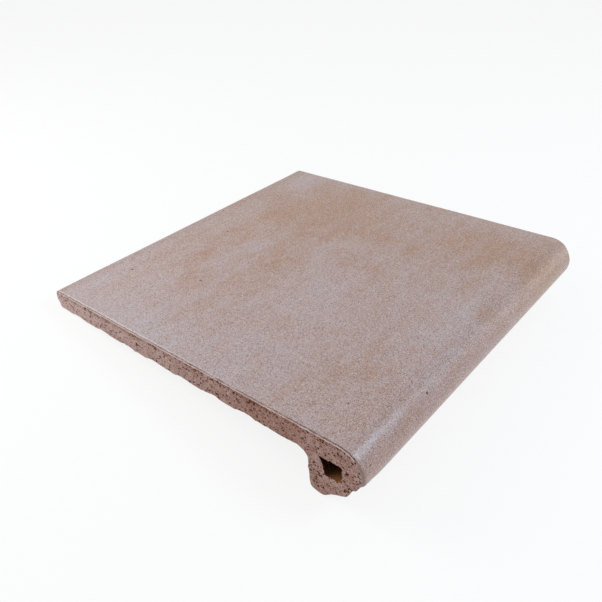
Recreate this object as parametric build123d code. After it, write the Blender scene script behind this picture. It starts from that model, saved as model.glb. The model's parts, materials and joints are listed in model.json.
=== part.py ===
from build123d import *
import math
import os

# Stair nosing tile: one piece of clay, extruded along X, cut to length and fired.
# The section is drawn with Y running back from the front of the nose and Z up from the tread.
# The finished tile is then laid as it rests on a floor, on its heel and on its back edge.

# Tread
tile_length = 330.0        # along the nose, between the two cut ends
tile_depth = 330.0         # front of the nose to the back face
slab_thickness = 20.0      # over the level bedding lands
back_thickness = 17.0      # at the back edge, where the slab has thinned
thinning_length = 110.0    # stretch at the back over which the slab thins
back_top_radius = 5.0      # rounded arris along the back of the tread
back_foot_radius = 1.5     # arris under the back edge
back_upright = 9.0         # upright height of the back face, from the tread down
back_lean = 3.5            # how far the foot of the back face stands in below that
end_bevel = 1.0            # bevel of the finished face at the cut ends

# Bedding grooves: shallow round channels in the underside that run with the nose
groove_pitch = 33.0
groove_width = 17.0
groove_depth = 1.5
first_groove = 56.5        # back of the lip to the middle of the first groove
back_land = 16.0           # least plain land behind the last groove

# Nose and lip
nose_radius = 20.0
nose_turn = 120.0          # degrees that the rounded face turns through, from the level tread
lip_thickness = 44.5       # front of the nose to the back of the lip
lip_height = 54.3          # tread to the lowest point of the heel
lip_fillet = 9.0           # inside corner between the lip and the slab

# Torn foot of the lip: a flank under the rounded face, a shelf, and the heel behind it
shelf_setback = 15.0       # front of the nose to the front of the shelf
shelf_width = 11.0
shelf_slope = 4.8          # drop of the shelf from front to back
shelf_rise = 6.3           # heel to the back of the shelf
heel_width = 11.5          # flat of the heel before its corners are rounded
heel_back_radius = 8.0
heel_front_radius = 4.0

# Hollow that runs through the nose from end to end
hollow_wall = 17.5         # front of the nose to the front of the hollow
hollow_cover = 18.6        # tread to the top of the hollow
hollow_height = 15.0
hollow_top_width = 19.0
hollow_floor_width = 14.2
hollow_back_bow = 1.2      # how far the back wall of the hollow bows inwards
hollow_front_radius = 1.5  # corner between the top and the front wall
hollow_floor_radius = 3.0  # corner between the front wall and the floor
hollow_back_radius = 0.8   # two corners of the back wall

tread_back = Vector(tile_depth, 0)
back_foot = Vector(tile_depth - back_lean, -back_thickness)
thinning_start = Vector(tile_depth - thinning_length, -slab_thickness)
lip_corner = Vector(lip_thickness, -slab_thickness)
heel_back = Vector(lip_thickness, -lip_height)
heel_front = heel_back - Vector(heel_width, 0)
shelf_back = Vector(shelf_setback + shelf_width, -lip_height + shelf_rise)
shelf_front = Vector(shelf_setback, shelf_back.Y + shelf_slope)
nose_top = Vector(nose_radius, 0)
nose_centre = Vector(nose_radius, -nose_radius)
hollow_front_top = Vector(hollow_wall, -hollow_cover)
hollow_front_floor = hollow_front_top - Vector(0, hollow_height)
hollow_back_top = hollow_front_top + Vector(hollow_top_width, 0)
hollow_back_floor = hollow_front_floor + Vector(hollow_floor_width, 0)


def bed_point(distance):
    """Point on the underside: level behind the lip, then rising evenly to the back edge."""
    share = max(0.0, distance - thinning_start.X) / (back_foot.X - thinning_start.X)
    return Vector(distance, -slab_thickness + share * (slab_thickness - back_thickness))


def groove_middles():
    """Distances of the groove middles from the nose, as many as the slab has room for."""
    first = lip_thickness + first_groove
    room = back_foot.X - back_land - groove_width / 2 - first
    return [first + i * groove_pitch for i in range(int(room // groove_pitch) + 1)]


def draw_underside():
    """Underside from the back edge to the lip, with a shallow arc at each groove."""
    at = back_foot
    for middle in reversed(groove_middles()):
        back = bed_point(middle + groove_width / 2)
        crown = bed_point(middle) + Vector(0, groove_depth)
        front = bed_point(middle - groove_width / 2)
        if back.X < thinning_start.X < at.X:
            Line(at, thinning_start)
            at = thinning_start
        Line(at, back)
        ThreePointArc(back, crown, front)
        at = front
    if thinning_start.X < at.X:
        Line(at, thinning_start)
        at = thinning_start
    Line(at, lip_corner)


def draw_outline():
    """Outer section: tread, back edge, grooved underside, lip, torn foot and rounded nose."""
    nose = CenterArc(nose_centre, nose_radius, 90, nose_turn)
    Polyline(nose_top, tread_back, tread_back - Vector(0, back_upright), back_foot)
    draw_underside()
    Polyline(lip_corner, heel_back, heel_front, shelf_back, shelf_front, nose @ 1)


def draw_hollow():
    """Section of the hollow: level top and floor, upright front wall, leaning back wall that bows in."""
    back_middle = (hollow_back_top + hollow_back_floor) / 2 - Vector(hollow_back_bow, 0)
    Polyline(hollow_back_top, hollow_front_top, hollow_front_floor, hollow_back_floor)
    ThreePointArc(hollow_back_floor, back_middle, hollow_back_top)


def draw_block():
    """Block round the whole section: tread and rounded nose, run on straight below the nose."""
    nose = CenterArc(nose_centre, nose_radius, 90, nose_turn)
    block_foot = nose @ 1 + (nose % 1) * lip_height
    Polyline(nose @ 1, block_foot, Vector(tile_depth, block_foot.Y), tread_back, nose_top)


def nearest(shapes, point):
    """The shape that lies nearest to a point of the section."""
    return shapes.sort_by_distance(Vector(0, point.X, point.Y))[0]


def section_face(draw, rounded_corners=()):
    """Flat face inside the lines that draw makes, with each listed corner rounded to its radius."""
    with BuildSketch(Plane.YZ) as sketch:
        with BuildLine():
            draw()
        make_face()
    face = sketch.sketch
    for point, radius in rounded_corners:
        face = fillet(nearest(face.vertices(), point), radius)
    return face


def rest_tilt(heel, foot):
    """Degrees between the tread and a floor that touches both the round heel and the round back foot."""
    run = foot.arc_center.Y - heel.arc_center.Y
    climb = foot.arc_center.Z - heel.arc_center.Z
    turn = math.asin((heel.radius - foot.radius) / math.hypot(run, climb))
    return math.degrees(math.atan2(climb, run) + turn)


outer = section_face(draw_outline, (
    (tread_back, back_top_radius),
    (back_foot, back_foot_radius),
    (lip_corner, lip_fillet),
    (heel_back, heel_back_radius),
    (heel_front, heel_front_radius),
))
hollow = section_face(draw_hollow, (
    (hollow_front_top, hollow_front_radius),
    (hollow_front_floor, hollow_floor_radius),
    (hollow_back_top, hollow_back_radius),
    (hollow_back_floor, hollow_back_radius),
))
nosing_tile = extrude(outer - hollow, amount=tile_length / 2, both=True)

# Bevel the finished face, tread and nose, at both cut ends
bevelled_block = extrude(section_face(draw_block), amount=tile_length / 2, both=True)
for end in (0, -1):
    block_end = bevelled_block.faces().sort_by(Axis.X)[end]
    bevelled_block = chamfer(nearest(block_end.edges(), nose_top), end_bevel)
nosing_tile = nosing_tile & bevelled_block

# Lay the tile on its heel and back edge, with the origin under the middle of its outline
arcs = outer.edges().filter_by(GeomType.CIRCLE)
tilt = rest_tilt(nearest(arcs, heel_back), nearest(arcs, back_foot))
nosing_tile = Rot(X=-tilt) * nosing_tile
reach = nosing_tile.bounding_box()
nosing_tile = Pos(-reach.center().X, -reach.center().Y, -reach.min.Z) * nosing_tile

os.makedirs("parts", exist_ok=True)
export_step(nosing_tile, "parts/nosing_tile.step")
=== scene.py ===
import itertools
import json
import math

import bpy
import numpy as np
from mathutils import Matrix, Vector


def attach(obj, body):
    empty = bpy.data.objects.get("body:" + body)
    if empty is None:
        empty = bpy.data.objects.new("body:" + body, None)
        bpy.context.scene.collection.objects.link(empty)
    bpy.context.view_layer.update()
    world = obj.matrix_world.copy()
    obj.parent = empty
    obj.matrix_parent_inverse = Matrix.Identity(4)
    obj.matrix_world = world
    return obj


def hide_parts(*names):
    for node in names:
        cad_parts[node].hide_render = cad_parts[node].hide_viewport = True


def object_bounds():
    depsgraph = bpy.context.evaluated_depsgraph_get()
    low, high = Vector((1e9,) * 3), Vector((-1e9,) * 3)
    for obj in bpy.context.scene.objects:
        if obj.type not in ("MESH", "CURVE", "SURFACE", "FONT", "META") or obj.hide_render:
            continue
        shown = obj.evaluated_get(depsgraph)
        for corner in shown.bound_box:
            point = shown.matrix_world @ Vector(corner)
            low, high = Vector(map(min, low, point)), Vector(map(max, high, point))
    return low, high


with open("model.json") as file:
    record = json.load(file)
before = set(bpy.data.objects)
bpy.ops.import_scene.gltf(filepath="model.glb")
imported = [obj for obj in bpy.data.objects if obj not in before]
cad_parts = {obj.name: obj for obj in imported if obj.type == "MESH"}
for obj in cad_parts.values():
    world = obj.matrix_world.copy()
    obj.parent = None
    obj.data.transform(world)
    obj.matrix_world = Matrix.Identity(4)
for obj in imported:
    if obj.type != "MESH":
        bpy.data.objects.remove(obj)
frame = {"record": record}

cad_low, cad_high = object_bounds()

# Lengths are millimetres, in the tile's own section: x along the nose, y back from the front of the nose,
# z up from the tread. MM turns them into metres.
MM = 0.001

# Tread and back edge
TILE_LENGTH = (cad_high.x - cad_low.x) / MM
TILE_DEPTH = 330.0
SLAB_THICKNESS = 20.0
BACK_THICKNESS = 17.0
THINNING_LENGTH = 110.0
BACK_TOP_RADIUS = 5.0
BACK_FOOT_RADIUS = 1.5
BACK_UPRIGHT = 9.0
BACK_LEAN = 3.5
ARRIS = 1.0                # rounding of the finished face at the cut ends
WORN_ARRIS = 2.4           # the same on the lower half of the nose, where it is worn rounder
WORN_FROM = 38.0           # degrees round the nose where that wear begins
WORN_TO = 58.0             # and where it is full

# Bedding grooves under the slab
GROOVE_PITCH = 33.0
GROOVE_WIDTH = 17.0
GROOVE_DEPTH = 1.5
FIRST_GROOVE = 101.0
GROOVE_COUNT = 7

# Nose, lip and torn foot
NOSE_RADIUS = 20.0
NOSE_TURN = 120.0          # degrees from the level tread
LIP_THICKNESS = 44.5
LIP_HEIGHT = 54.3
LIP_FILLET = 9.0
SHELF_FRONT = (15.0, -43.2)
SHELF_BACK = (26.0, -48.0)
HEEL_FRONT = (33.0, -54.3)
HEEL_FRONT_RADIUS = 4.0
HEEL_BACK_RADIUS = 8.0
TORN_TOP = -44.0           # the back of the lip is torn below this height
TORN_FADE = 4.0            # and fully torn this far further down

# Hollow through the nose
HOLLOW_WALL = 17.5
HOLLOW_COVER = 18.6
HOLLOW_HEIGHT = 15.0
HOLLOW_TOP_WIDTH = 19.0
HOLLOW_FLOOR_WIDTH = 14.2
HOLLOW_BACK_BOW = 1.2
HOLLOW_RADII = (1.5, 4.5, 0.8, 6.0, 0.8)    # front top, front floor, back floor, bow, back top
HOLLOW_MIDDLE = (26.0, -26.0)

# Tears and burrs at the near end, in its section: y, z, spread, and height, which is negative for a tear
NEAR_TEARS = (
    (3.0, -29.5, 4.0, -2.2),
    (8.5, -36.0, 4.5, -2.2),
    (24.5, -48.5, 2.0, 0.7),
    (42.5, -51.5, 2.6, 1.2),
)
NEAR_TEAR_REACH = 11.0     # how far they run along the nose

# Relief of the sides: heights, and the lengths over which they change or die away. A layer of noise is given
# by its height, length and seed.
WAVE_HEIGHT = 0.10         # faint waves of the finished faces
WAVE_LENGTH = 60.0
DRAG_LAYERS = ((0.22, (45.0, 2.4, 2.4), 2), (0.2, 5.0, 3))      # drag marks of the die on raw faces
TEAR_LAYERS = ((1.1, 11.0, 4), (0.7, 5.0, 5), (0.4, 2.2, 6))    # torn clay
TEAR_CEILING = 0.3         # torn clay stands out no further than this
TEAR_SETBACK = 0.5
TEAR_END_CALM = 0.7        # share of the tearing that is missing at the cut ends
TEAR_END_REACH = 8.0
BURR_HEIGHT = 0.45         # burr pushed up by the cutting wire
BURR_RAGGED = 0.6
BURR_LENGTH = 3.2
BURR_REACH = 3.0
BURR_FLOOR_GAP = 12.0      # no burr this near the back edge, which rests on the floor
BURR_FLOOR_FADE = 20.0
TORN_BURR = 0.5            # share of the burr on torn faces

# Relief of the cut ends and of the hollow
CUT_LAYERS = ((0.12, 6.0, 8), (0.10, 1.8, 9))                   # cut clay
CUT_SETBACK = 0.15
END_SHIFT = 500.0          # sets the noise of the two ends apart
MOUTH_RAGGED = 0.75        # raggedness of the hollow's mouth
MOUTH_LENGTH = 2.2
MOUTH_REACH = 5.0
WALL_DRAG = 0.25           # drag marks along the hollow's walls
WALL_DRAG_LENGTHS = (25.0, 3.0, 3.0)

# Larger pores of the cut ends
SLAB_PORES = 36
NOSE_PORES = 12
CROWDED_SHARE = 0.55       # share of the slab's pores that crowd under the finished face
CROWDED_FROM = 2.2
CROWDED_SPREAD = 3.5
SLAB_PORE_COVER = 2.5      # least depth of the other pores below the tread, in the slab
NOSE_PORE_COVER = 2.0      # and in the nose
PORE_LENGTHS = (0.9, 1.5)
PORE_WIDTHS = (0.6, 0.95)  # as shares of the length
PORE_DEPTHS = (0.5, 1.1)

# Mesh steps
SLAB_STEPS = 300           # from the lip to the back edge
THICKNESS_STEPS = 22       # through the slab
FINISHED_STEPS = 84        # over the front of the tread and round the nose
TORN_STEPS = 96            # under the nose and up the back of the lip
RING_STEPS = 20            # from the outline of the nose to the hollow
ARRIS_TURNS = (90.0, 60.0, 30.0, 0.0)     # degrees round the arris of the first cross-sections
END_ROWS = (1.8, 3.0, 5.0)                # distances of the next ones from each end
MIDDLE_ROWS = 60
HOLLOW_ROWS = 24
CORNER_POINTS = 16         # points of a rounded corner before it is resampled
NOSE_POINTS = 80           # and of the rounded nose
HOLLOW_POINTS = 600        # and of the hollow's outline
WELDS_IN_MM = 2000         # points that round to the same place at this fineness become one
FAR_FROM_RIM = 8.0         # rim value of points away from the edge of the finished face
SHARP_ANGLE = 40.0         # degrees past which an edge is shaded sharp

# Clouds in the glaze: x, distance back over the unrolled face, two half sizes, and strength, which is
# positive for tan and negative for pale
GLAZE_CLOUDS = (
    # Tan, from the back of the tread to the nose
    (115, 150, 70, 170, 0.30), (85, 236, 58, 56, 0.55), (55, 268, 16, 14, 0.35), (135, 225, 20, 34, 0.25),
    (98, 297, 16, 12, 0.25), (70, 313, 55, 9, 0.22), (-30, 300, 60, 14, 0.15), (-58, 271, 20, 14, 0.50),
    (-5, 272, 40, 14, 0.30), (10, 252, 14, 26, 0.35), (-80, 240, 14, 18, 0.35), (-15, 205, 62, 20, 0.40),
    (75, 178, 38, 16, 0.25), (78, 148, 16, 16, 0.30), (25, 136, 13, 26, 0.35), (75, 117, 18, 14, 0.35),
    (120, 80, 24, 24, 0.30), (80, 88, 22, 14, 0.15), (92, 57, 20, 12, 0.50), (130, 50, 22, 22, 0.35),
    (50, 60, 22, 14, 0.20), (-104, 58, 36, 18, 0.15), (115, 24, 32, 18, 0.45), (120, -4, 60, 16, 0.40),
    (0, -12, 240, 26, 0.34), (0, -22, 240, 14, 0.15),
    # Pale, at the near end, where they are partly a painted sheen, the middle, the corners and the nose
    (-156, 230, 24, 66, -0.52), (-126, 246, 18, 36, -0.22), (-126, 140, 18, 52, -0.26),
    (-130, 305, 30, 12, -0.30), (-98, 268, 20, 18, -0.25), (-46, 134, 42, 28, -0.26), (-4, 237, 14, 8, -0.40),
    (-14, 25, 42, 16, -0.32), (140, 302, 20, 14, -0.35), (-158, 130, 20, 42, -0.26),
    (-158, 45, 18, 26, -0.12), (-125, 316, 55, 10, -0.25), (-68, 5, 40, 9, -0.25),
)
CLOUD_FRAY = (9.0, 4.0)    # coarse and fine shift of the clouds' edges
FRAY_LENGTHS = (22.0, 8.0)

# Dark firing specks on the finished face: x, y, z and radius
FIRING_SPECKS = (
    (-130.9, 37.0, 0.0, 0.8), (-102.8, 301.1, 0.0, 1.5), (1.0, 282.9, 0.0, 1.3), (-80.0, 234.8, 0.0, 1.2),
    (-84.8, 5.0, -6.8, 1.4), (-156.9, 1.5, -12.4, 0.8),
)

# Rusty grain and brown stain at the near cut end: x, y, z and radius
RUSTY_SPOTS = ((-165.0, 34.5, -5.5, 2.2),)
BROWN_STAINS = ((-165.0, 76.0, -12.0, 36.0),)

# Grains of the finishes, as counts in a metre
GLAZE_GRAINS = 1900.0
CLAY_GRAINS = 1300.0
RUSTY_GRAINS = 420.0
# Round pores of the cut clay: count in a metre, and share of them that shows in the body and under the glaze
ROUND_PORES = ((430.0, 0.17, 0.75), (800.0, 0.20, 0.60))

# Painted shade, darker and warmer towards the back edge: distances from the back of the tile where it starts
# and is full
BACK_SHADE_STRIP = (17.0, 8.0)
BACK_SHADE_ARRIS = (5.0, 1.0)

# Painted pool of light on the hollow's floor: heights over its floor, distances in front of its back corner,
# and from its mouth
LIT_POOL_HEIGHTS = (1.8, 0.7)
LIT_POOL_DEPTHS = (2.0, 8.0)
LIT_POOL_FROM_MOUTH = (16.0, 3.0)

# Camera of the photograph, in section axes
PHOTO_PIXELS = 602
CAMERA_FOCAL_PIXELS = 645.49
CAMERA_POSITION = (-386.03, -154.12, 287.99)
CAMERA_YAW = 48.302        # degrees from +y towards +x
CAMERA_PITCH = 32.945      # degrees down
CAMERA_ROLL = 3.484        # degrees


def mount_face(name):
    """Point, in millimetres, and outward normal of one of the record's mount faces."""
    mount = next(m for m in frame["record"]["mounts"] if m["name"] == name)
    return np.array(mount["pos_m"]) / MM, np.array(mount["axis"], float)


# The bedding face gives the slab's upward direction, the riser face the direction from nose to back
bed_point, bed_normal = mount_face("bedding_face")
riser_point, riser_normal = mount_face("riser_face")
ALONG = np.array((1.0, 0.0, 0.0))
BACK = riser_normal
UP = -bed_normal
SECTION_AXES = np.stack([ALONG, BACK, UP])
NOSE_ORIGIN = UP * (bed_point @ UP + SLAB_THICKNESS) + BACK * (riser_point @ BACK - LIP_THICKNESS)


def to_row(points):
    """Section points in millimetres, carried into the row frame in metres: origin plus x, y, z steps."""
    return (np.asarray(points) @ SECTION_AXES + NOSE_ORIGIN) * MM


# Repeatable noise

def hashed(cells, seed):
    """One value from -1 to 1 for each whole-numbered lattice cell, by mixing its bits."""
    mixed = cells[..., 0] * 73856093 ^ cells[..., 1] * 19349663 ^ cells[..., 2] * 83492791 ^ (seed * 9781 + 1)
    mixed = ((mixed ^ (mixed >> 13)) & 0xFFFFFFF) * 1274127
    mixed = (mixed ^ (mixed >> 15)) & 0xFFFF
    return mixed / 32767.5 - 1.0


def lattice_noise(points, scale, seed):
    """Smooth noise from -1 to 1: hashed values at the corners of a lattice, blended by smoothstep."""
    cell = np.asarray(points) / np.asarray(scale)
    base = np.floor(cell).astype(np.int64)
    part = cell - base
    eased = part * part * (3 - 2 * part)
    total = np.zeros(cell.shape[:-1])
    for corner in itertools.product((0, 1), repeat=3):
        step = np.array(corner)
        weight = np.prod(np.where(step, eased, 1 - eased), axis=-1)
        total += weight * hashed(base + step, seed)
    return total


# Curves of the section, as arrays of (y, z)

def unit(vectors):
    """Vectors divided by their lengths."""
    return vectors / np.linalg.norm(vectors, axis=-1, keepdims=True)


def rounded(corners, radii, closed=False):
    """Line through corners, each rounded: the chord between its tangent points, pushed out to the radius."""
    corners = np.asarray(corners, float)
    pieces = []
    for place, radius in enumerate(radii):
        corner = corners[place]
        if radius == 0:
            pieces.append(corner[None])
            continue
        before = unit(corners[place - 1] - corner)
        after = unit(corners[(place + 1) % len(corners)] - corner)
        half = math.acos(before @ after) / 2
        centre = corner + unit(before + after) * radius / math.sin(half)
        share = np.linspace(0, 1, CORNER_POINTS)[:, None]
        chord = corner + ((1 - share) * before + share * after) * radius / math.tan(half)
        pieces.append(centre + unit(chord - centre) * radius)
    line = np.vstack(pieces)
    return np.vstack([line, line[:1]]) if closed else line


def resample(points, steps):
    """The same line in equal steps: y and z interpolated over the length walked along it."""
    points = np.asarray(points, float)
    walked = np.r_[0, np.cumsum(np.hypot(*np.diff(points, axis=0).T))]
    even = np.linspace(0, walked[-1], steps + 1)
    return np.c_[np.interp(even, walked, points[:, 0]), np.interp(even, walked, points[:, 1])]


def bed_height(y):
    """Underside of the slab: level, then rising to the back, plus a shallow parabola at each groove."""
    foot = TILE_DEPTH - BACK_LEAN
    start = TILE_DEPTH - THINNING_LENGTH
    height = -SLAB_THICKNESS + np.clip((y - start) / (foot - start), 0, 1) * (SLAB_THICKNESS - BACK_THICKNESS)
    for groove in range(GROOVE_COUNT):
        across = (y - FIRST_GROOVE - groove * GROOVE_PITCH) / (GROOVE_WIDTH / 2)
        height = height + GROOVE_DEPTH * np.clip(1 - across * across, 0, None)
    return height


SEAM = LIP_THICKNESS + LIP_FILLET          # where the slab leaves the nose block
BACK_EDGE = TILE_DEPTH - BACK_TOP_RADIUS   # where the tread turns down at the back
BACK_FOOT = TILE_DEPTH - BACK_LEAN


def nose_round():
    """Rounded face of the nose: centre plus radius times (-sine, cosine) of the turn from straight up."""
    turn = np.radians(np.linspace(0, NOSE_TURN, NOSE_POINTS))
    return np.c_[NOSE_RADIUS - NOSE_RADIUS * np.sin(turn), NOSE_RADIUS * np.cos(turn) - NOSE_RADIUS]


def tread_curve():
    """Level top of the slab, from the seam to the back arris."""
    y = np.linspace(SEAM, BACK_EDGE, SLAB_STEPS + 1)
    return np.c_[y, np.zeros_like(y)]


def back_curve():
    """Back edge from the tread down: rounded arris, upright, and a face that leans in to the foot."""
    bed = BACK_FOOT - 2 * BACK_FOOT_RADIUS
    corners = ((BACK_EDGE, 0.0), (TILE_DEPTH, 0.0), (TILE_DEPTH, -BACK_UPRIGHT), (BACK_FOOT, -BACK_THICKNESS),
               (bed, bed_height(bed)))
    return resample(rounded(corners, (0, BACK_TOP_RADIUS, 0, BACK_FOOT_RADIUS, 0)), THICKNESS_STEPS)


def underside_curve():
    """Grooved underside, from the seam to the foot of the back edge."""
    y = np.linspace(SEAM, BACK_FOOT - 2 * BACK_FOOT_RADIUS, SLAB_STEPS + 1)
    return np.c_[y, bed_height(y)]


def nose_curve():
    """Finished face from the seam forward along the tread and round the nose."""
    return resample(np.vstack([[(SEAM, 0.0)], nose_round()]), FINISHED_STEPS)


def lip_curve():
    """Raw face from the foot of the nose: flank, shelf, heel, back of the lip, and fillet to the slab."""
    corners = (nose_round()[-1], SHELF_FRONT, SHELF_BACK, HEEL_FRONT, (LIP_THICKNESS, -LIP_HEIGHT),
               (LIP_THICKNESS, -SLAB_THICKNESS), (SEAM, -SLAB_THICKNESS))
    radii = (0, 0, 0, HEEL_FRONT_RADIUS, HEEL_BACK_RADIUS, LIP_FILLET, 0)
    return resample(rounded(corners, radii), TORN_STEPS)


def hollow_radius(angle):
    """Distance from the hollow's middle to its wall, by angle, read off its rounded outline."""
    front, top = HOLLOW_WALL, -HOLLOW_COVER
    floor = top - HOLLOW_HEIGHT
    upper_back = (front + HOLLOW_TOP_WIDTH, top)
    lower_back = (front + HOLLOW_FLOOR_WIDTH, floor)
    bow = ((upper_back[0] + lower_back[0]) / 2 - HOLLOW_BACK_BOW, (top + floor) / 2)
    corners = ((front, top), (front, floor), lower_back, bow, upper_back)
    walls = resample(rounded(corners, HOLLOW_RADII, closed=True), HOLLOW_POINTS)[:-1] - HOLLOW_MIDDLE
    turn = np.arctan2(walls[:, 1], walls[:, 0])
    order = np.argsort(turn)
    return np.interp(angle, turn[order], np.hypot(*walls[order].T), period=2 * math.pi)


# Outline of the section, clockwise seen with the nose on the left, and its zones

def closed_outline():
    """Whole outline as one loop, with a weight of 1 on finished faces and a weight of 1 on torn ones."""
    tread, back, under = tread_curve(), back_curve(), underside_curve()
    nose, lip = nose_curve(), lip_curve()
    loop = np.vstack([tread[:-1], back[:-1], under[:0:-1], lip[:0:-1], nose[:0:-1]])
    finished = np.r_[
        np.ones(SLAB_STEPS),
        np.clip((back[:-1, 1] + BACK_UPRIGHT) / (BACK_UPRIGHT - BACK_TOP_RADIUS), 0, 1),
        np.zeros(SLAB_STEPS + TORN_STEPS),
        np.ones(FINISHED_STEPS),
    ]
    flank = (loop[:, 0] < SHELF_BACK[0]) & (loop[:, 1] < -NOSE_RADIUS) & (finished == 0)
    foot = np.clip((TORN_TOP - loop[:, 1]) / TORN_FADE, 0, 1) * (loop[:, 0] <= LIP_THICKNESS + 1)
    return loop, finished, np.maximum(flank, foot)


def outward(loop):
    """Unit normals of a closed clockwise loop: the step between neighbours, turned a quarter left."""
    step = np.roll(loop, -1, axis=0) - np.roll(loop, 1, axis=0)
    return unit(np.c_[-step[:, 1], step[:, 0]])


# Relief of the faces

def near_tears(points):
    """Tears and burrs at the near end: bell curves in the section that die away along the nose."""
    along = (points[..., 0] + TILE_LENGTH / 2) / NEAR_TEAR_REACH
    height = np.zeros(points.shape[:-1])
    for y, z, spread, rise in NEAR_TEARS:
        away = ((points[..., 1] - y) ** 2 + (points[..., 2] - z) ** 2) / spread ** 2
        height += rise * np.exp(-away - along ** 2)
    return height


def layered_noise(points, layers):
    """Noise of several layers, each given by height, length and seed, added up."""
    return sum(height * lattice_noise(points, length, seed) for height, length, seed in layers)


def side_relief(points, finished, torn, from_end):
    """Height over the section: waves on finished faces, drag marks and burrs on raw ones, and tears."""
    waves = WAVE_HEIGHT * lattice_noise(points, WAVE_LENGTH, 1)
    drag = layered_noise(points, DRAG_LAYERS)
    tear = np.minimum(layered_noise(points, TEAR_LAYERS), TEAR_CEILING) - TEAR_SETBACK
    tear = tear * (1 - TEAR_END_CALM * np.exp(-from_end / TEAR_END_REACH))
    off_floor = np.clip((TILE_DEPTH - BURR_FLOOR_GAP - points[..., 1]) / BURR_FLOOR_FADE, 0, 1)
    burr = BURR_HEIGHT * off_floor + BURR_RAGGED * lattice_noise(points, BURR_LENGTH, 7)
    burr = burr * np.exp(-from_end / BURR_REACH)
    raw = (1 - torn) * (drag + burr) + torn * (tear + TORN_BURR * burr)
    return finished * waves + (1 - finished) * raw + near_tears(points)


def finished_depth(y, z):
    """Depth below the finished face: under the level tread, or inside the nose circle in front of it."""
    radius = np.hypot(y - NOSE_RADIUS, z + NOSE_RADIUS)
    turn = np.degrees(np.arctan2(NOSE_RADIUS - y, z + NOSE_RADIUS))
    in_nose = (y < NOSE_RADIUS) & (turn < NOSE_TURN)
    return np.where(in_nose, NOSE_RADIUS - radius, np.where(y < NOSE_RADIUS, NOSE_RADIUS, -z))


def nose_wear(y, z):
    """Wear of the arris by the turn round the nose: 0 on the tread, rising to 1 on the lower half."""
    turn = np.degrees(np.arctan2(NOSE_RADIUS - y, z + NOSE_RADIUS))
    return np.where(y < NOSE_RADIUS, np.clip((turn - WORN_FROM) / (WORN_TO - WORN_FROM), 0, 1), 0.0)


def scatter_pores(end):
    """Places, sizes and turns of the larger pores of one cut end, crowded under the finished face."""
    draw = np.random.default_rng(11 + end)
    y = np.r_[draw.uniform(SEAM, TILE_DEPTH, SLAB_PORES), draw.uniform(0, SEAM, NOSE_PORES)]
    crowded = CROWDED_FROM + draw.exponential(CROWDED_SPREAD, SLAB_PORES)
    spread = draw.uniform(SLAB_PORE_COVER, SLAB_THICKNESS, SLAB_PORES)
    in_slab = np.where(draw.random(SLAB_PORES) < CROWDED_SHARE, crowded, spread)
    z = -np.r_[in_slab, draw.uniform(NOSE_PORE_COVER, LIP_HEIGHT, NOSE_PORES)]
    count = SLAB_PORES + NOSE_PORES
    length = draw.uniform(*PORE_LENGTHS, count)
    width = length * draw.uniform(*PORE_WIDTHS, count)
    turn = draw.uniform(0, math.pi, count)
    depth = draw.uniform(*PORE_DEPTHS, count)
    return y, z, length, width, turn, depth


def pore_depth(y, z, pores):
    """Depth of the pores at points of a cut end, the deepest of the oval bowls, and nearness to a middle."""
    pore_y, pore_z, length, width, turn, depth = pores
    dy, dz = y[:, None] - pore_y, z[:, None] - pore_z
    long_way = (dy * np.cos(turn) + dz * np.sin(turn)) / length
    short_way = (dz * np.cos(turn) - dy * np.sin(turn)) / width
    bowl = np.clip(1 - long_way ** 2 - short_way ** 2, 0, 1)
    return np.max(bowl * depth, axis=1), np.max(np.sqrt(bowl), axis=1)


def end_relief(y, z, end):
    """How far a cut end stands out, and how much of a pore is at each point: fine noise less the pores."""
    points = np.c_[np.full_like(y, END_SHIFT * end), y, z]
    depth, pore = pore_depth(y, z, scatter_pores(end))
    return layered_noise(points, CUT_LAYERS) - CUT_SETBACK - depth, pore


def frayed(points, seed):
    """Shift of the clouds' edges: a coarse and a fine noise added up."""
    (coarse, fine), (coarse_length, fine_length) = CLOUD_FRAY, FRAY_LENGTHS
    return layered_noise(points, ((coarse, coarse_length, seed), (fine, fine_length, seed + 1)))


def glaze_clouds(points):
    """Warmth of the glaze, in the pale ovals at the near end partly a painted sheen: flat-topped ovals over
    the unrolled face, with frayed edges, added up.
    """
    turn = np.arctan2(NOSE_RADIUS - points[:, 1], points[:, 2] + NOSE_RADIUS)
    back = np.where(points[:, 1] < NOSE_RADIUS, NOSE_RADIUS - NOSE_RADIUS * turn, points[:, 1])
    along = points[:, 0] + frayed(points, 21)
    back = back + frayed(points, 23)
    total = np.zeros(len(points))
    for x, y, half_x, half_y, strength in GLAZE_CLOUDS:
        away = ((along - x) / half_x) ** 2 + ((back - y) / half_y) ** 2
        total += strength * np.exp(-away ** 1.5)
    return total


# Mesh of the tile

def grid_faces(rows, columns, start, closed=False):
    """Quads of a grid of points numbered by rows from start; closed joins the last column to the first."""
    row = np.arange(rows - 1)[:, None]
    column = np.arange(columns if closed else columns - 1)[None, :]
    right = (column + 1) % columns
    below = row + 1
    upper = (row * columns + column, row * columns + right)
    lower = (below * columns + right, below * columns + column)
    return start + np.stack(np.broadcast_arrays(*upper, *lower), axis=-1).reshape(-1, 4)


def coons(top, bottom, left, right):
    """Grid inside four edge curves: the blend of opposite edges, less the blend of the four corners."""
    u = np.linspace(0, 1, len(top))[None, :, None]
    v = np.linspace(0, 1, len(left))[:, None, None]
    edges = (1 - v) * top[None] + v * bottom[None] + (1 - u) * left[:, None] + u * right[:, None]
    upper = (1 - u) * top[0] + u * top[-1]
    lower = (1 - u) * bottom[0] + u * bottom[-1]
    return edges - (1 - v) * upper - v * lower


def cross_sections():
    """Distances along the nose of the cross-sections: close together at the ends, even between."""
    half = TILE_LENGTH / 2
    ends = np.r_[ARRIS * (1 - np.sin(np.radians(ARRIS_TURNS))), END_ROWS]
    middle = np.linspace(-half + ends[-1], half - ends[-1], MIDDLE_ROWS + 1)[1:-1]
    return np.r_[-half + ends, middle, (half - ends)[::-1]]


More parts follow.
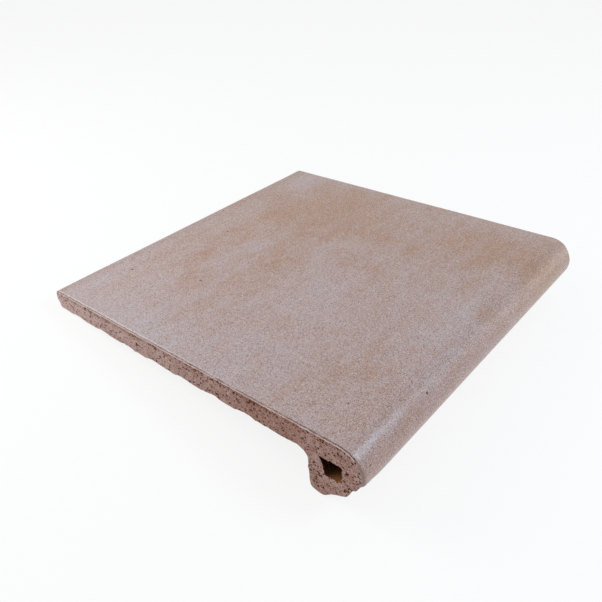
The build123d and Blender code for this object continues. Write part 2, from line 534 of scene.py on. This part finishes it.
class Blocks:
    """Collects grids of points with their faces, materials and vertex values until they are welded."""

    def __init__(self):
        self.points, self.faces, self.materials, self.values = [], [], [], []
        self.count = 0

    def add(self, grid, material, closed=False, flip=False, rim=FAR_FROM_RIM, pore=0.0):
        """Adds a grid of points (rows, columns, 3); rim and pore are one value, or one for each point."""
        rows, columns = grid.shape[:2]
        quads = grid_faces(rows, columns, self.count, closed)
        values = [np.broadcast_to(value, (rows, columns)).reshape(-1) for value in (rim, pore)]
        self.points.append(grid.reshape(-1, 3))
        self.faces.append(quads[:, ::-1] if flip else quads)
        self.materials.append(np.broadcast_to(material, (rows - 1, len(quads) // (rows - 1))).reshape(-1))
        self.values.append(np.stack(values, axis=-1))
        self.count += rows * columns

    def welded(self):
        """Points that lie together become one, with the least rim and the largest pore of its copies."""
        points = np.vstack(self.points)
        values = np.vstack(self.values)
        keys = np.round(points * WELDS_IN_MM).astype(np.int64)
        _, first, place = np.unique(keys, axis=0, return_index=True, return_inverse=True)
        place = place.reshape(-1)
        rim = np.full(len(first), np.inf)
        pore = np.zeros(len(first))
        np.minimum.at(rim, place, values[:, 0])
        np.maximum.at(pore, place, values[:, 1])
        return points[first], place[np.vstack(self.faces)], np.concatenate(self.materials), rim, pore


GLAZED, CUT, EXTRUDED, INSIDE = range(4)     # material slots of the tile


def build_tile():
    """The tile: its outline carried along the nose, the hollow carried likewise, and two cut ends between."""
    loop, finished, torn = closed_outline()
    normal = outward(loop)
    stations = cross_sections()
    half = TILE_LENGTH / 2
    from_end = half - np.abs(stations)[:, None]
    blocks = Blocks()

    # Sides: section points pushed along their normals by the relief, less the round arris at the ends
    sides = np.empty((len(stations), len(loop), 3))
    sides[..., 0] = stations[:, None]
    sides[..., 1:] = loop
    height = side_relief(sides, finished, torn, from_end)
    arris = ARRIS + (WORN_ARRIS - ARRIS) * nose_wear(loop[:, 0], loop[:, 1])
    arris_turn = np.arcsin(np.clip(1 - from_end / arris, 0, 1))
    height = height - finished * arris * (1 - np.cos(arris_turn))
    sides[..., 1:] += normal * height[..., None]
    for row, end in ((0, -1), (len(stations) - 1, 1)):
        out, _ = end_relief(sides[row, :, 1], sides[row, :, 2], end)
        sides[row, :, 0] += end * out
    inside = np.clip(ARRIS - from_end, None, 0)
    rim = np.where(finished > 0.5, np.degrees(arris_turn) / 90.0 + inside, FAR_FROM_RIM)
    raw_slot = np.where(np.maximum(torn, np.roll(torn, -1)) > 0, CUT, EXTRUDED)
    side_slot = np.where(np.minimum(finished, np.roll(finished, -1)) > 0, GLAZED, raw_slot)
    blocks.add(sides, side_slot[None, :], closed=True, rim=rim)

    # Hollow: a wall point for each point of the nose block's outline, at the same angle round the middle
    seam_share = np.linspace(0, 1, THICKNESS_STEPS + 1)[:, None]
    nose_loop = np.r_[np.arange(2 * SLAB_STEPS + THICKNESS_STEPS, len(loop)), 0]
    seam = (1 - seam_share) * loop[0] + seam_share * loop[nose_loop[0]]
    around = np.vstack([seam[:-1], loop[nose_loop[:-1]]])
    angle = np.arctan2(*(around - HOLLOW_MIDDLE).T[::-1])
    wall = np.c_[np.cos(angle), np.sin(angle)]
    hollow_x = np.interp(np.linspace(0, 1, HOLLOW_ROWS), np.linspace(0, 1, len(stations)), stations)
    hollow_end = half - np.abs(hollow_x)[:, None]
    hollow = np.empty((HOLLOW_ROWS, len(angle), 3))
    hollow[..., 0] = hollow_x[:, None]
    hollow[..., 1:] = HOLLOW_MIDDLE + wall * hollow_radius(angle)[:, None]
    ragged = MOUTH_RAGGED * lattice_noise(hollow, MOUTH_LENGTH, 12) * np.exp(-hollow_end / MOUTH_REACH)
    drag = WALL_DRAG * lattice_noise(hollow, WALL_DRAG_LENGTHS, 13)
    hollow[..., 1:] += wall * (ragged + drag)[..., None]
    for row, end in ((0, -1), (HOLLOW_ROWS - 1, 1)):
        out, _ = end_relief(hollow[row, :, 1], hollow[row, :, 2], end)
        hollow[row, :, 0] += end * out
    blocks.add(hollow, INSIDE, closed=True, flip=True)

    # Cut ends: a block across the slab and a ring from the nose outline in to the hollow
    for row, hollow_row, end in ((0, 0, -1), (len(stations) - 1, HOLLOW_ROWS - 1, 1)):
        edge = sides[row, :, 1:]
        top = edge[:SLAB_STEPS + 1]
        back = edge[SLAB_STEPS:SLAB_STEPS + THICKNESS_STEPS + 1]
        bottom = edge[SLAB_STEPS + THICKNESS_STEPS:2 * SLAB_STEPS + THICKNESS_STEPS + 1][::-1]
        seam = (1 - seam_share) * top[0] + seam_share * bottom[0]
        slab = coons(top, bottom, seam, back)
        ring_outer = np.vstack([seam[:-1], edge[nose_loop[:-1]]])
        share = np.linspace(0, 1, RING_STEPS + 1)[:, None, None]
        ring = (1 - share) * ring_outer[None] + share * hollow[hollow_row, None, :, 1:]
        for grid, closed, flip in ((slab, False, end > 0), (ring, True, end < 0)):
            flat = grid.reshape(-1, 2)
            shape = grid.shape[:2]
            out, pore = end_relief(flat[:, 0], flat[:, 1], end)
            face = np.c_[end * (half + out), flat].reshape(shape + (3,))
            depth = np.maximum(finished_depth(flat[:, 0], flat[:, 1]), ARRIS)
            blocks.add(face, CUT, closed, flip, rim=depth.reshape(shape), pore=pore.reshape(shape))

    return blocks.welded()


def tile_object():
    """One closed mesh object from the welded blocks, with its vertex values stored as attributes."""
    points, faces, slots, rim, pore = build_tile()
    mesh = bpy.data.meshes.new("nosing_tile_mesh")
    mesh.from_pydata(to_row(points), [], faces)
    mesh.polygons.foreach_set("material_index", slots.astype(np.int32))
    mesh.polygons.foreach_set("use_smooth", np.ones(len(faces), bool))
    wear = nose_wear(points[:, 1], points[:, 2])
    for name, values in (("rim", rim), ("pore", pore), ("wear", wear), ("warmth_and_sheen", glaze_clouds(points))):
        mesh.attributes.new(name, "FLOAT", "POINT").data.foreach_set("value", values.astype(np.float32))
    mesh.set_sharp_from_angle(angle=math.radians(SHARP_ANGLE))
    mesh.update()
    tile = bpy.data.objects.new("fired_tile", mesh)
    bpy.context.scene.collection.objects.link(tile)
    return tile


# Colours

def srgb(red, green, blue):
    """Linear colour of an 8-bit display colour."""
    value = np.array((red, green, blue)) / 255.0
    linear = np.where(value <= 0.04045, value / 12.92, ((value + 0.055) / 1.055) ** 2.4)
    return (*linear.tolist(), 1.0)


GLAZE_GREY = srgb(187, 165, 161)
GLAZE_TAN = srgb(176, 136, 110)
GLAZE_COOL_AND_SHEEN = srgb(191, 181, 185)
GLAZE_SPECK = srgb(120, 96, 86)
# Pale grains, brightened as painted glints of the sand, and the painted glint along the cut edge
GLAZE_PALE_AND_GLINT = srgb(218, 210, 211)
FIRING_BLACK = srgb(70, 56, 52)
# Rubbed glaze, darkened partly as painted shade
RUBBED_AND_SHADED_GLAZE = srgb(142, 117, 109)
# Painted shade along the back edge
BACK_EDGE_SHADE = srgb(146, 112, 97)
NOSE_ROSE = srgb(175, 139, 131)
EDGE_BROWN = srgb(92, 42, 24)
EDGE_PALE = srgb(222, 201, 195)
CLAY_PINK = srgb(203, 173, 164)
CLAY_BROWN = srgb(153, 111, 96)
CLAY_STAIN = srgb(146, 94, 68)
# Pale dust; on the cut ends, towards the back, also painted light
CLAY_DUST_AND_PAINTED_LIGHT = srgb(210, 188, 182)
CLAY_GRAIN = srgb(110, 78, 66)
# Painted shade in the pores
PORE_SHADE_BROWN = srgb(76, 26, 12)
RUST_GRAIN = srgb(172, 108, 66)
# Hollow colours: the two dark ones are painted shade, the pale one a painted pool of light
HOLLOW_SHADE_OCHRE = srgb(60, 31, 11)
HOLLOW_SHADE_DARK = srgb(42, 18, 6)
HOLLOW_LIT_POOL = srgb(152, 104, 64)


# Node calls

def add(tree, kind, inputs=None, **settings):
    """New node with its settings; inputs are values or sockets to link, by socket name or number."""
    node = tree.nodes.new(kind)
    for name, value in settings.items():
        setattr(node, name, value)
    for name, value in (inputs or {}).items():
        if isinstance(value, bpy.types.NodeSocket):
            tree.links.new(value, node.inputs[name])
        else:
            node.inputs[name].default_value = value
    return node


def noise(tree, vector, scale, detail=2.0):
    """Noise value from 0 to 1 with scale features in a metre."""
    return add(tree, "ShaderNodeTexNoise", {"Vector": vector, "Scale": scale, "Detail": detail}).outputs[0]


def ramp(tree, value, low, high, start=0.0, end=1.0):
    """Value carried from low..high to start..end, and held at the two ends."""
    limits = {"Value": value, "From Min": low, "From Max": high, "To Min": start, "To Max": end}
    return add(tree, "ShaderNodeMapRange", limits).outputs[0]


def combine(tree, operation, first, second):
    """One math operation on two values."""
    return add(tree, "ShaderNodeMath", {0: first, 1: second}, operation=operation).outputs[0]


def blend(tree, factor, first, second):
    """Mix of two colours."""
    return add(tree, "ShaderNodeMix", {0: factor, 6: first, 7: second}, data_type="RGBA").outputs[2]


def stretched(tree, vector, scale):
    """Coordinates multiplied by three factors."""
    return add(tree, "ShaderNodeVectorMath", {0: vector, 1: scale}, operation="MULTIPLY").outputs[0]


def shaded(tree, colour, factor):
    """Colour made darker or lighter by a factor."""
    return add(tree, "ShaderNodeHueSaturation", {"Color": colour, "Value": factor}).outputs[0]


def axes(tree, vector):
    """The three parts of a place in the row frame: along the nose, back and up."""
    return add(tree, "ShaderNodeSeparateXYZ", {0: vector}).outputs


def group(tree, node_tree, inputs):
    """Outputs of a shader group placed in a tree."""
    return add(tree, "ShaderNodeGroup", inputs, node_tree=node_tree).outputs


def new_group(name, inputs, outputs):
    """Empty shader group with named sockets: its tree, its inputs by name, and its output node."""
    tree = bpy.data.node_groups.new(name, "ShaderNodeTree")
    for socket, kind in inputs.items():
        tree.interface.new_socket(socket, in_out="INPUT", socket_type="NodeSocket" + kind)
    for socket, kind in outputs.items():
        tree.interface.new_socket(socket, in_out="OUTPUT", socket_type="NodeSocket" + kind)
    return tree, tree.nodes.new("NodeGroupInput").outputs, tree.nodes.new("NodeGroupOutput").inputs


def sand_grain_group():
    """Sandy grain: a fine tone, a hue for every grain, and masks for the dark and the pale grains."""
    tree, given, result = new_group(
        "sand_grain", {"Vector": "Vector", "Grains": "Float"},
        {"Tone": "Float", "Hue": "Float", "Dark": "Float", "Pale": "Float"})
    cells = add(tree, "ShaderNodeTexVoronoi", {"Vector": given["Vector"], "Scale": given["Grains"]})
    chance = add(tree, "ShaderNodeSeparateColor", {"Color": cells.outputs["Color"]})
    fine = noise(tree, given["Vector"], given["Grains"])
    tree.links.new(ramp(tree, fine, 0.3, 0.7), result["Tone"])
    tree.links.new(chance.outputs[2], result["Hue"])
    tree.links.new(ramp(tree, chance.outputs[0], 0.14, 0.06), result["Dark"])
    tree.links.new(ramp(tree, chance.outputs[1], 0.86, 0.96), result["Pale"])
    return tree


def broken_edge_group():
    """Ragged edge of the finished face: a painted glint just inside the edge, a dark line on the arris, a
    pale band of clay below.
    """
    tree, given, result = new_group(
        "broken_edge", {"Vector": "Vector", "Rim": "Float", "Wear": "Float"},
        {"Painted glint": "Float", "Line": "Float", "Band": "Float"})
    wobble = ramp(tree, noise(tree, given["Vector"], 500.0), 0.25, 0.75, -0.3, 0.3)
    rim = combine(tree, "ADD", given["Rim"], wobble)
    worn = combine(tree, "ADD", given["Wear"], wobble)
    unworn = ramp(tree, worn, 0.4, 0.1)
    patchy = ramp(tree, noise(tree, given["Vector"], 90.0), 0.35, 0.55, 0.5, 1.0)
    broken = ramp(tree, noise(tree, given["Vector"], 160.0), 0.35, 0.6, 0.7, 1.0)
    # Painted glint: a pale line of glaze just inside the cut edge
    lip = combine(tree, "MULTIPLY", ramp(tree, rim, -0.8, -0.4), ramp(tree, rim, 0.3, 0.1))
    line = combine(tree, "MULTIPLY", ramp(tree, rim, 0.2, 0.35), ramp(tree, rim, 1.15, 0.95))
    band = combine(tree, "MULTIPLY", ramp(tree, rim, 0.95, 1.15), ramp(tree, rim, 2.5, 2.2))
    line = combine(tree, "MULTIPLY", line, combine(tree, "MULTIPLY", unworn, patchy))
    band = combine(tree, "MULTIPLY", band, combine(tree, "MULTIPLY", unworn, broken))
    for name, mask in (("Painted glint", lip), ("Line", line), ("Band", band)):
        tree.links.new(mask, result[name])
    return tree


def clay_body_group(sand_grain):
    """Raw clay: two body colours in soft clouds, dark grains, rusty grains, and a height for the bump."""
    tree, given, result = new_group(
        "clay_body", {"Vector": "Vector", "Pale clay": "Color", "Dark clay": "Color"},
        {"Color": "Color", "Height": "Float"})
    vector = given["Vector"]
    cloud = ramp(tree, noise(tree, vector, 130.0, 4.0), 0.3, 0.7, 0.0, 0.5)
    fleck = ramp(tree, noise(tree, vector, 900.0), 0.38, 0.62, 0.0, 0.5)
    grain = group(tree, sand_grain, {"Vector": vector, "Grains": CLAY_GRAINS})
    colour = blend(tree, combine(tree, "ADD", cloud, fleck), given["Pale clay"], given["Dark clay"])
    colour = shaded(tree, colour, ramp(tree, grain["Tone"], 0, 1, 0.75, 1.25))
    colour = blend(tree, combine(tree, "MULTIPLY", grain["Dark"], 0.7), colour, CLAY_GRAIN)
    cells = add(tree, "ShaderNodeTexVoronoi", {"Vector": vector, "Scale": RUSTY_GRAINS})
    chance = add(tree, "ShaderNodeSeparateColor", {"Color": cells.outputs["Color"]}).outputs[2]
    rusty = ramp(tree, chance, 0.993, 0.997, 0.0, 0.6)
    tree.links.new(blend(tree, rusty, colour, RUST_GRAIN), result["Color"])
    tree.links.new(grain["Tone"], result["Height"])
    return tree


def round_pores_group():
    """Round pores: a ball in each lattice cell, if its chance is under the share, cut by the surface."""
    tree, given, result = new_group(
        "round_pores", {"Vector": "Vector", "Pores": "Float", "Share": "Float"}, {"Pore": "Float"})
    cells = add(tree, "ShaderNodeTexVoronoi", {"Vector": given["Vector"], "Scale": given["Pores"]})
    chance = add(tree, "ShaderNodeSeparateColor", {"Color": cells.outputs["Color"]}).outputs
    chosen = ramp(tree, combine(tree, "SUBTRACT", given["Share"], chance[0]), 0.0, 0.02)
    radius = ramp(tree, chance[1], 0, 1, 0.28, 0.48)
    within = ramp(tree, combine(tree, "SUBTRACT", radius, cells.outputs["Distance"]), 0.0, 0.08)
    tree.links.new(combine(tree, "MULTIPLY", chosen, within), result["Pore"])
    return tree


def new_material(name):
    """Material with its tree, its Principled shader and its Object coordinates."""
    material = bpy.data.materials.new(name)
    material.use_nodes = True
    tree = material.node_tree
    return material, tree, tree.nodes["Principled BSDF"], add(tree, "ShaderNodeTexCoord").outputs["Object"]


def attribute(tree, name):
    """Vertex value of the mesh, by name."""
    return add(tree, "ShaderNodeAttribute", attribute_name=name).outputs["Fac"]


def bump(tree, shader, height, strength, distance):
    """Bump of a height on a shader's normal."""
    node = add(tree, "ShaderNodeBump", {"Height": height, "Strength": strength, "Distance": distance})
    tree.links.new(node.outputs[0], shader.inputs["Normal"])


def section_reach(tree, vector, axis):
    """Distance along an axis of the section, in metres: the point's reach along it, less the nose's own."""
    reach = add(tree, "ShaderNodeVectorMath", {0: vector, 1: axis}, operation="DOT_PRODUCT").outputs["Value"]
    return combine(tree, "SUBTRACT", reach, float(NOSE_ORIGIN @ axis) * MM)


def back_strip(tree, depth, strip, strength):
    """Mask of a strip at the back edge, from where it starts to where it is full."""
    start, full = ((TILE_DEPTH - away) * MM for away in strip)
    return ramp(tree, depth, start, full, 0.0, strength)


def spot_mask(tree, vector, spots):
    """Mask of a few round spots: nearness to each one's place, the nearest taken."""
    mask = 0.0
    for x, y, z, radius in spots:
        place = to_row((x, y, z)).tolist()
        away = add(tree, "ShaderNodeVectorMath", {0: vector, 1: place}, operation="DISTANCE").outputs["Value"]
        near = ramp(tree, away, radius * MM, 0.5 * radius * MM)
        mask = combine(tree, "MAXIMUM", near, mask)
    return mask


def glazed_face(sand_grain, broken_edge):
    """Finished face: grey-pink, with tan and pale clouds, partly a painted sheen, sandy grain with painted
    glints, sparse specks, worn edges partly in painted shade, painted shade at the back edge and a painted
    glint along the cut edges.
    """
    material, tree, shader, vector = new_material("glazed_face")
    grain = group(tree, sand_grain, {"Vector": vector, "Grains": GLAZE_GRAINS})
    drawn_out = stretched(tree, vector, (0.4, 1.0, 1.0))
    cloud = ramp(tree, noise(tree, drawn_out, 80.0, 5.0), 0.25, 0.75, -0.28, 0.28)
    mottle = ramp(tree, noise(tree, drawn_out, 230.0, 3.0), 0.3, 0.7, -0.20, 0.20)
    warmth_and_sheen = combine(tree, "ADD", attribute(tree, "warmth_and_sheen"), combine(tree, "ADD", cloud, mottle))
    warmth_and_sheen = combine(tree, "ADD", warmth_and_sheen, ramp(tree, grain["Hue"], 0, 1, -0.14, 0.56))
    # Negative warmth turns the glaze pale and cool: at the near end partly a painted sheen
    colour = blend(tree, ramp(tree, warmth_and_sheen, 0.0, -1.0), GLAZE_GREY, GLAZE_COOL_AND_SHEEN)
    colour = blend(tree, ramp(tree, warmth_and_sheen, 0.0, 1.0), colour, GLAZE_TAN)
    depth = section_reach(tree, vector, BACK)
    # Painted shade: darker and warmer towards the back edge and over its arris, in patches
    strip, arris = back_strip(tree, depth, BACK_SHADE_STRIP, 0.22), back_strip(tree, depth, BACK_SHADE_ARRIS, 0.25)
    patchy = ramp(tree, noise(tree, drawn_out, 60.0), 0.3, 0.7, 0.6, 1.4)
    back_edge_shade = combine(tree, "MULTIPLY", combine(tree, "ADD", strip, arris), patchy)
    colour = blend(tree, back_edge_shade, colour, BACK_EDGE_SHADE)
    rim, wear = attribute(tree, "rim"), attribute(tree, "wear")
    along, back, _ = axes(tree, vector)
    rosy = combine(tree, "MULTIPLY", wear, ramp(tree, along, 0.08, 0.0, 0.0, 0.5))
    colour = blend(tree, rosy, colour, NOSE_ROSE)
    colour = shaded(tree, colour, ramp(tree, grain["Tone"], 0, 1, 0.62, 1.38))
    colour = blend(tree, combine(tree, "MULTIPLY", grain["Dark"], 0.9), colour, GLAZE_SPECK)
    # Pale grains, brightened as painted glints of the sand
    colour = blend(tree, combine(tree, "MULTIPLY", grain["Pale"], 0.7), colour, GLAZE_PALE_AND_GLINT)
    colour = blend(tree, spot_mask(tree, vector, FIRING_SPECKS), colour, FIRING_BLACK)
    # Rubbed glaze on the worn arris of the lower nose, darkened partly as painted shade
    rubbed_and_shaded = combine(tree, "MULTIPLY", wear, ramp(tree, rim, 0.0, 0.5, 0.0, 0.8))
    colour = blend(tree, rubbed_and_shaded, colour, RUBBED_AND_SHADED_GLAZE)
    edge = group(tree, broken_edge, {"Vector": vector, "Rim": rim, "Wear": wear})
    # Painted glint along the cut edge, stronger towards the back
    lip = combine(tree, "MULTIPLY", edge["Painted glint"], ramp(tree, back, -0.06, 0.04, 0.0, 0.6))
    colour = blend(tree, lip, colour, GLAZE_PALE_AND_GLINT)
    colour = blend(tree, combine(tree, "MULTIPLY", edge["Line"], 0.8), colour, EDGE_BROWN)
    tree.links.new(colour, shader.inputs["Base Color"])
    tree.links.new(ramp(tree, grain["Tone"], 0, 1, 0.20, 0.42), shader.inputs["Roughness"])
    bump(tree, shader, grain["Tone"], 0.18, 0.0002)
    return material


def cut_clay(clay_body, broken_edge, round_pores):
    """Wire-cut and torn clay: body paler to the back, partly dust and partly painted light, stains, pores
    painted dark as shade, and the glaze's edge.
    """
    material, tree, shader, vector = new_material("cut_clay")
    body = group(tree, clay_body, {"Vector": vector, "Pale clay": CLAY_PINK, "Dark clay": CLAY_BROWN})
    back = axes(tree, vector)[1]
    # Paler towards the back of the cut ends: partly dust, partly painted light
    colour = blend(tree, ramp(tree, back, -0.06, 0.16, 0.0, 0.65), body["Color"], CLAY_DUST_AND_PAINTED_LIGHT)
    rim, wear = attribute(tree, "rim"), attribute(tree, "wear")
    patchy = ramp(tree, noise(tree, vector, 150.0), 0.35, 0.6)
    stained = combine(tree, "MULTIPLY", ramp(tree, rim, 6.5, 2.5, 0.0, 0.6), patchy)
    stained = combine(tree, "MULTIPLY", stained, ramp(tree, wear, 0.6, 0.0))
    brown = combine(tree, "MULTIPLY", spot_mask(tree, vector, BROWN_STAINS), 0.25)
    colour = blend(tree, combine(tree, "ADD", stained, brown), colour, CLAY_STAIN)
    rusty = combine(tree, "MULTIPLY", spot_mask(tree, vector, RUSTY_SPOTS), 0.6)
    colour = blend(tree, rusty, colour, RUST_GRAIN)
    ragged = ramp(tree, noise(tree, vector, 900.0), 0.2, 0.8, -0.3, 0.3)
    pores = ramp(tree, combine(tree, "ADD", attribute(tree, "pore"), ragged), 0.35, 0.6)
    crowd = ramp(tree, rim, 6.0, 2.6)
    for count, body_share, crowd_share in ROUND_PORES:
        share = ramp(tree, crowd, 0, 1, body_share, crowd_share)
        found = group(tree, round_pores, {"Vector": vector, "Pores": count, "Share": share})
        pores = combine(tree, "MAXIMUM", pores, found["Pore"])
    # Pores painted dark brown: painted shade in the holes
    colour = blend(tree, combine(tree, "MULTIPLY", pores, 0.9), colour, PORE_SHADE_BROWN)
    edge = group(tree, broken_edge, {"Vector": vector, "Rim": rim, "Wear": wear})
    colour = blend(tree, combine(tree, "MULTIPLY", edge["Line"], 0.8), colour, EDGE_BROWN)
    colour = blend(tree, edge["Band"], colour, EDGE_PALE)
    tree.links.new(colour, shader.inputs["Base Color"])
    shader.inputs["Roughness"].default_value = 0.9
    shader.inputs["Specular IOR Level"].default_value = 0.05
    bump(tree, shader, combine(tree, "SUBTRACT", body["Height"], pores), 0.6, 0.0004)
    return material


def extruded_clay(clay_body):
    """Raw die face under the slab: the same body, streaked along the nose by the die, with pale dust."""
    material, tree, shader, vector = new_material("extruded_clay")
    body = group(tree, clay_body, {"Vector": vector, "Pale clay": CLAY_PINK, "Dark clay": CLAY_BROWN})
    streak = noise(tree, stretched(tree, vector, (0.05, 1.0, 1.0)), 700.0, 3.0)
    dust = ramp(tree, noise(tree, vector, 35.0, 4.0), 0.45, 0.7, 0.0, 0.5)
    colour = blend(tree, dust, body["Color"], CLAY_DUST_AND_PAINTED_LIGHT)
    colour = shaded(tree, colour, ramp(tree, streak, 0.3, 0.7, 0.88, 1.08))
    tree.links.new(colour, shader.inputs["Base Color"])
    shader.inputs["Roughness"].default_value = 0.9
    bump(tree, shader, combine(tree, "ADD", body["Height"], streak), 0.4, 0.0003)
    return material


def hollow_clay(clay_body):
    """Inside of the hollow: clay painted dark brown as painted shade, with a painted pool of light on its
    floor near each mouth.
    """
    material, tree, shader, vector = new_material("hollow_clay")
    # Painted shade: the clay inside the hollow is made near-black brown
    body = group(tree, clay_body, {"Vector": vector, "Pale clay": HOLLOW_SHADE_OCHRE, "Dark clay": HOLLOW_SHADE_DARK})
    floor = -HOLLOW_COVER - HOLLOW_HEIGHT
    corner = HOLLOW_WALL + HOLLOW_FLOOR_WIDTH
    mouth = TILE_LENGTH / 2
    height, depth = section_reach(tree, vector, UP), section_reach(tree, vector, BACK)
    from_middle = combine(tree, "ABSOLUTE", axes(tree, vector)[0], 0.0)
    # Painted light: a paler pool on the floor, in front of the back corner and near each mouth
    low = ramp(tree, height, *((floor + over) * MM for over in LIT_POOL_HEIGHTS))
    forward = ramp(tree, depth, *((corner - away) * MM for away in LIT_POOL_DEPTHS), 0.2, 1.0)
    near_mouth = ramp(tree, from_middle, *((mouth - away) * MM for away in LIT_POOL_FROM_MOUTH), 0.2, 1.0)
    painted_lit_pool = combine(tree, "MULTIPLY", combine(tree, "MULTIPLY", low, forward), near_mouth)
    shader.inputs["Specular IOR Level"].default_value = 0.05
    tree.links.new(blend(tree, painted_lit_pool, body["Color"], HOLLOW_LIT_POOL), shader.inputs["Base Color"])
    shader.inputs["Roughness"].default_value = 0.9
    bump(tree, shader, body["Height"], 0.5, 0.0004)
    return material


sand_grain = sand_grain_group()
broken_edge = broken_edge_group()
clay_body = clay_body_group(sand_grain)
round_pores = round_pores_group()

tile = tile_object()
tile.data.materials.append(glazed_face(sand_grain, broken_edge))
tile.data.materials.append(cut_clay(clay_body, broken_edge, round_pores))
tile.data.materials.append(extruded_clay(clay_body))
tile.data.materials.append(hollow_clay(clay_body))
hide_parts("nosing_tile")
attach(tile, "root")


# Stage, light and camera

# Floor and sweep, in metres: flat round the tile, then rising on all sides as a parabola
FLOOR_DROP = 0.0006
SWEEP_START = 3.0
SWEEP_REACH = 8.0
SWEEP_HEIGHT = 4.6
SWEEP_STEPS = 96
FLOOR_WHITE = (0.98, 0.98, 0.98, 1.0)
FLOOR_ROUGHNESS = 0.95
FLOOR_OWN_LIGHT = 0.85     # share of the white that is the floor's own light

# Lamps: name, place and size in metres, power in watts and colour
SOFTBOXES = (
    ("back_softbox", (-0.42, 0.60, 0.46), 0.45, 3.0, (1.0, 0.99, 0.98)),
    ("nose_softbox", (0.43, -0.80, 0.92), 0.36, 5.5, (0.64, 0.80, 1.0)),
    ("front_softbox", (1.10, -0.75, 0.35), 0.60, 1.2, (1.0, 0.95, 0.90)),
)
STUDIO_STRENGTH = 0.482


def pale_floor():
    """White floor that keeps a soft shadow, flat in the middle and rising on all sides.

    It is a square grid. Its height goes with the square of how far a point lies past the flat round middle,
    as a share of the way to the reach. To the camera and in reflections part of its white is its own light.
    """
    material, tree, shader, _ = new_material("pale_floor")
    shader.inputs["Base Color"].default_value = FLOOR_WHITE
    shader.inputs["Roughness"].default_value = FLOOR_ROUGHNESS
    shader.inputs["Specular IOR Level"].default_value = 0.0
    path = add(tree, "ShaderNodeLightPath").outputs
    seen = combine(tree, "MAXIMUM", path["Is Camera Ray"], path["Is Glossy Ray"])
    seen = combine(tree, "MAXIMUM", seen, path["Is Transmission Ray"])
    glow = add(tree, "ShaderNodeEmission", {"Color": (1, 1, 1, 1), "Strength": 1.0})
    own_light = combine(tree, "MULTIPLY", seen, FLOOR_OWN_LIGHT)
    mixed = add(tree, "ShaderNodeMixShader", {0: own_light, 1: shader.outputs[0], 2: glow.outputs[0]})
    tree.links.new(mixed.outputs[0], tree.nodes["Material Output"].inputs["Surface"])

    side = np.linspace(-SWEEP_REACH, SWEEP_REACH, SWEEP_STEPS + 1)
    x, y = np.meshgrid(side, side)
    past_middle = np.clip((np.hypot(x, y) - SWEEP_START) / (SWEEP_REACH - SWEEP_START), 0, 1)
    sweep = np.stack([x, y, SWEEP_HEIGHT * past_middle ** 2 - FLOOR_DROP], axis=-1)
    mesh = bpy.data.meshes.new("floor_mesh")
    mesh.from_pydata(sweep.reshape(-1, 3), [], grid_faces(*sweep.shape[:2], 0))
    mesh.polygons.foreach_set("use_smooth", np.ones(len(mesh.polygons), bool))
    mesh.materials.append(material)
    plane = bpy.data.objects.new("floor", mesh)
    bpy.context.scene.collection.objects.link(plane)


def softbox(name, position, size, power, colour):
    """Square soft light at a row position in metres, turned to the tile."""
    light = bpy.data.lights.new(name, "AREA")
    light.size = size
    light.energy = power
    light.color = colour
    lamp = bpy.data.objects.new(name, light)
    lamp.location = position
    lamp.rotation_euler = (-Vector(position)).to_track_quat("-Z", "Y").to_euler()
    bpy.context.scene.collection.objects.link(lamp)


def studio_world(strength):
    """Even white light from all round."""
    world = bpy.data.worlds.new("studio")
    world.use_nodes = True
    background = world.node_tree.nodes["Background"]
    background.inputs["Color"].default_value = (1, 1, 1, 1)
    background.inputs["Strength"].default_value = strength
    bpy.context.scene.world = world


def photo_camera():
    """Camera at the photograph's place: forward from yaw and pitch, right and down turned by the roll."""
    yaw, pitch, roll = np.radians((CAMERA_YAW, CAMERA_PITCH, CAMERA_ROLL))
    forward = np.array((np.sin(yaw) * np.cos(pitch), np.cos(yaw) * np.cos(pitch), -np.sin(pitch)))
    level_right = np.array((np.cos(yaw), -np.sin(yaw), 0.0))
    level_down = np.cross(forward, level_right)
    right = np.cos(roll) * level_right + np.sin(roll) * level_down
    down = np.cos(roll) * level_down - np.sin(roll) * level_right
    place = np.eye(4)
    place[:3, :3] = (np.stack([right, -down, -forward]) @ SECTION_AXES).T
    place[:3, 3] = to_row(CAMERA_POSITION)
    data = bpy.data.cameras.new("photo_camera")
    data.sensor_width = 36.0
    data.lens = data.sensor_width * CAMERA_FOCAL_PIXELS / PHOTO_PIXELS
    data.clip_start = 0.01
    camera = bpy.data.objects.new("photo_camera", data)
    camera.matrix_world = Matrix(place.tolist())
    bpy.context.scene.collection.objects.link(camera)
    bpy.context.scene.camera = camera


pale_floor()
studio_world(STUDIO_STRENGTH)
for lamp in SOFTBOXES:
    softbox(*lamp)
photo_camera()
bpy.context.scene.view_settings.view_transform = "Standard"
